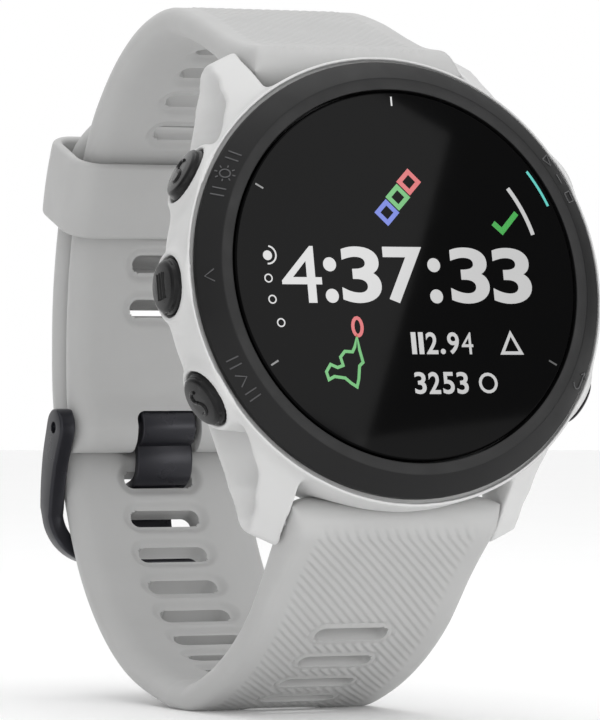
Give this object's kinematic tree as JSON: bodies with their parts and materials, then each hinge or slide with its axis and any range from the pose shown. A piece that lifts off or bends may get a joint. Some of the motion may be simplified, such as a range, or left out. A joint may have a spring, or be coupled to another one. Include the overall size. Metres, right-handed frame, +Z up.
{
  "type": "gps running watch",
  "caption": "Round digital sports watch with a stepped bezel, side push buttons and a slotted silicone strap, buckled into a loop and standing on its band.",
  "frame": {"origin": "centre of the footprint box on the surface that the buckled band stands on", "axes": "+Z up, the dial faces -Y and leans back 11.7 degrees, +X is the dial's 3 o'clock side"},
  "size_m": [0.045, 0.0666, 0.0694],
  "materials": {
    "case_polymer": "fine matte fibre-reinforced polymer, very light grey",
    "bezel_polymer": "matte dark grey",
    "lens_glass": "polished chemically hardened glass",
    "display": "lit digits and small marks on near black",
    "silicone": "matte silicone, fine diagonal ribs outside",
    "black_metal": "dark coated metal, satin",
    "steel": "bare stainless",
    "black_rubber": "matte O-ring rubber",
    "dark_plastic": "moulded",
    "circuit_board": "green solder mask",
    "cell_foil": "foil wrap",
    "gold_contact": "plated",
    "sensor_glass": "dark infrared-clear window"
  },
  "bodies": {
    "case": {"case_body": "case_polymer", "bezel": "bezel_polymer", "lens": "lens_glass", "lens_gasket": "black_rubber", "display_panel": "display", "display_frame": "dark_plastic", "gps_antenna": "gold_contact", "main_board": "circuit_board", "battery": "cell_foil", "vibration_motor": "steel", "buzzer": "gold_contact", "back_cover": "case_polymer", "back_gasket": "black_rubber", "sensor_window": "sensor_glass", "sensor_board": "circuit_board", "charging_contacts": "dark_plastic", "back_screw_1": "steel", "back_screw_2": "steel", "back_screw_3": "steel", "back_screw_4": "steel", "button_spring_light": "steel", "button_spring_up": "steel", "button_spring_down": "steel", "button_spring_start": "steel", "button_spring_back": "steel", "button_switch_light": "dark_plastic", "button_switch_up": "dark_plastic", "button_switch_down": "dark_plastic", "button_switch_start": "dark_plastic", "button_switch_back": "dark_plastic"},
    "button_light": {"button_light": "black_metal", "button_seal_light": "black_rubber", "button_clip_light": "steel"},
    "button_up": {"button_up": "black_metal", "button_seal_up": "black_rubber", "button_clip_up": "steel"},
    "button_down": {"button_down": "black_metal", "button_seal_down": "black_rubber", "button_clip_down": "steel"},
    "button_start": {"button_start": "black_metal", "button_seal_start": "black_rubber", "button_clip_start": "steel"},
    "button_back": {"button_back": "black_metal", "button_seal_back": "black_rubber", "button_clip_back": "steel"},
    "upper_band": {"upper_strap": "silicone", "upper_spring_bar": "steel", "upper_bar_coil": "steel", "buckle_pin": "steel"},
    "upper_release": {"upper_release_pin": "steel"},
    "buckle_frame": {"buckle_frame": "black_metal"},
    "buckle_tongue": {"buckle_tongue": "black_metal"},
    "keeper": {"keeper": "silicone"},
    "lower_band": {"lower_strap": "silicone", "lower_spring_bar": "steel", "lower_bar_coil": "steel"},
    "lower_release": {"lower_release_pin": "steel"}
  },
  "joints": [
    {"name": "button_light_press", "type": "slide", "parent": "case", "child": "button_light", "axis": [0.8746, -0.0983, -0.4747], "range_m": [0, 0.0006], "stiffness_N_per_m": 2000, "springref_m": -0.0003, "deforming": ["button_spring_light"]},
    {"name": "button_up_press", "type": "slide", "parent": "case", "child": "button_up", "axis": [1, 0, 0], "range_m": [0, 0.0006], "stiffness_N_per_m": 2000, "springref_m": -0.0003, "deforming": ["button_spring_up"]},
    {"name": "button_down_press", "type": "slide", "parent": "case", "child": "button_down", "axis": [0.8746, 0.0983, 0.4747], "range_m": [0, 0.0006], "stiffness_N_per_m": 2000, "springref_m": -0.0003, "deforming": ["button_spring_down"]},
    {"name": "button_start_press", "type": "slide", "parent": "case", "child": "button_start", "axis": [-0.8746, -0.0983, -0.4747], "range_m": [0, 0.0006], "stiffness_N_per_m": 2000, "springref_m": -0.0003, "deforming": ["button_spring_start"]},
    {"name": "button_back_press", "type": "slide", "parent": "case", "child": "button_back", "axis": [-0.8746, 0.0983, 0.4747], "range_m": [0, 0.0006], "stiffness_N_per_m": 2000, "springref_m": -0.0003, "deforming": ["button_spring_back"]},
    {"name": "upper_band_hinge", "type": "hinge", "parent": "case", "child": "upper_band", "pos_m": [0.0006, -0.01662, 0.06234], "axis": [1, 0, 0], "range_deg": [-0.25, 0.2], "stiffness_Nm_per_rad": 5},
    {"name": "lower_band_hinge", "type": "hinge", "parent": "case", "child": "lower_band", "pos_m": [0.0006, -0.02555, 0.01925], "axis": [1, 0, 0], "range_deg": [-0.21, 0.17], "stiffness_Nm_per_rad": 5},
    {"name": "upper_release_slide", "type": "slide", "parent": "upper_band", "child": "upper_release", "axis": [1, 0, 0], "range_m": [0, 0.0012], "stiffness_N_per_m": 600, "springref_m": -0.001, "deforming": ["upper_bar_coil"]},
    {"name": "lower_release_slide", "type": "slide", "parent": "lower_band", "child": "lower_release", "axis": [1, 0, 0], "range_m": [0, 0.0012], "stiffness_N_per_m": 600, "springref_m": -0.001, "deforming": ["lower_bar_coil"]},
    {"name": "buckle_frame_hinge", "type": "hinge", "parent": "upper_band", "child": "buckle_frame", "pos_m": [0.0006, 0.0272, 0.0276], "axis": [1, 0, 0], "range_deg": [0, 2]},
    {"name": "buckle_tongue_hinge", "type": "hinge", "parent": "buckle_frame", "child": "buckle_tongue", "pos_m": [0.0006, 0.0272, 0.0276], "axis": [1, 0, 0], "range_deg": [0, 1]},
    {"name": "keeper_slide", "type": "hinge", "parent": "upper_band", "child": "keeper", "pos_m": [0.0006, -0.00419, 0.04047], "axis": [1, 0, 0], "range_deg": [-3, 3]}
  ],
  "couplings": [
    {"joint": "lower_band_hinge", "follows": "upper_band_hinge", "ratio": 0.81}
  ]
}
